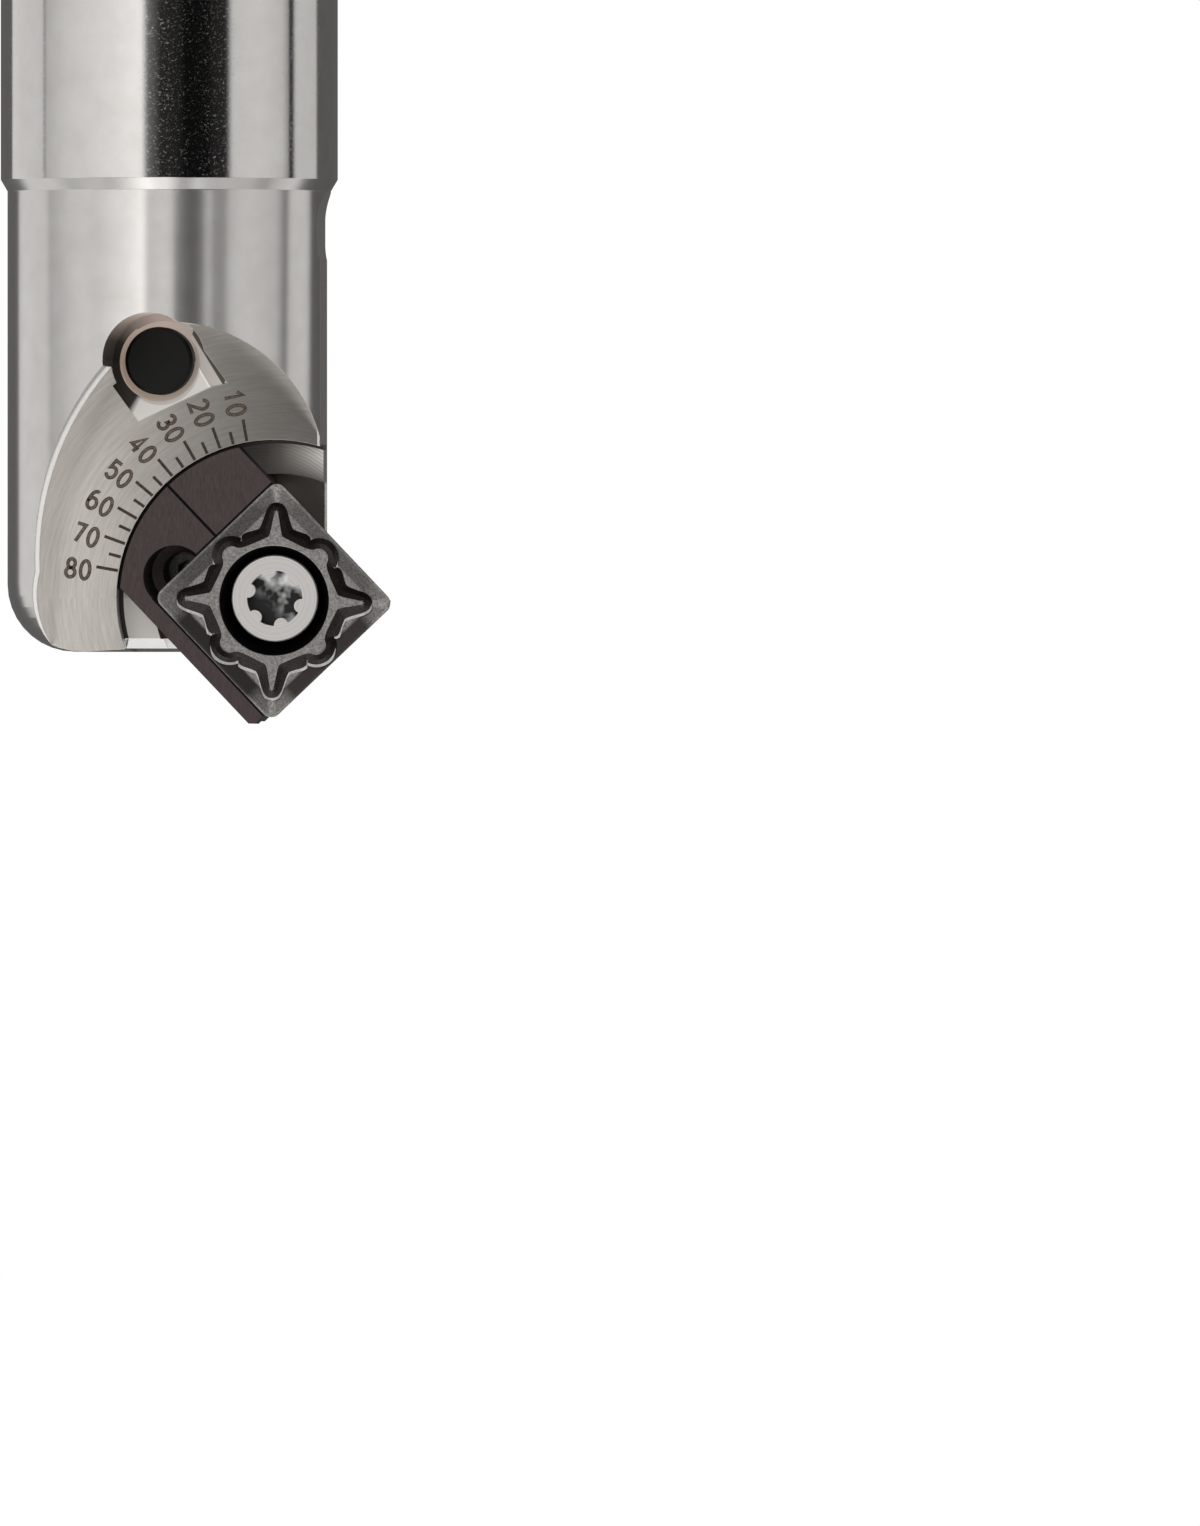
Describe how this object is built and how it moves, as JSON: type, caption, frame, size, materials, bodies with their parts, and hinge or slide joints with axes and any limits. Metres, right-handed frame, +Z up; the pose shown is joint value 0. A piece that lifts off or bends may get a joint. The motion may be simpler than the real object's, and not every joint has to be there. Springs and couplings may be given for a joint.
{
  "type": "adjustable chamfer mill",
  "caption": "Straight-shank chamfer milling cutter with a square indexable insert in a swivelling holder that is set against an angle scale and locked by a screw.",
  "frame": {"origin": "on the tool's axis where the shank meets the cone of the head", "axes": "+Z up the shank, the cutting end points down, the scale face looks along -Y and the insert stands out towards +X"},
  "size_m": [0.0292, 0.025, 0.0963],
  "materials": {
    "body_steel": "bright plated steel, turned and ground, with a satin milled scale face",
    "plug_black": "matt black",
    "holder_steel": "blackened steel with fine grain",
    "insert_carbide": "dark grey coated carbide with a fine speckle",
    "screw_steel": "light satin steel",
    "lock_steel": "black oxide steel"
  },
  "bodies": {
    "root": {"cutter_body": "body_steel", "coolant_plug": "plug_black"},
    "swivel": {"swivel_holder": "holder_steel", "cutting_insert": "insert_carbide"},
    "clamp_screw": {"insert_screw": "screw_steel"},
    "locking_screw": {"lock_screw": "lock_steel"}
  },
  "joints": [
    {"name": "holder_swivel", "type": "hinge", "parent": "root", "child": "swivel", "pos_m": [0.0081, -0.00345, -0.03105], "axis": [0, -1, 0], "range_deg": [-33.5, 36.5]},
    {"name": "insert_screw_turn", "type": "hinge", "parent": "root", "child": "clamp_screw", "pos_m": [0.0081, -0.00345, -0.03105], "axis": [0, -1, 0], "range_deg": [0, 360]},
    {"name": "lock_screw_turn", "type": "hinge", "parent": "swivel", "child": "locking_screw", "pos_m": [0.00064, -0.00345, -0.02941], "axis": [-0.1511, -0.9848, -0.0855], "range_deg": [0, 360]}
  ]
}
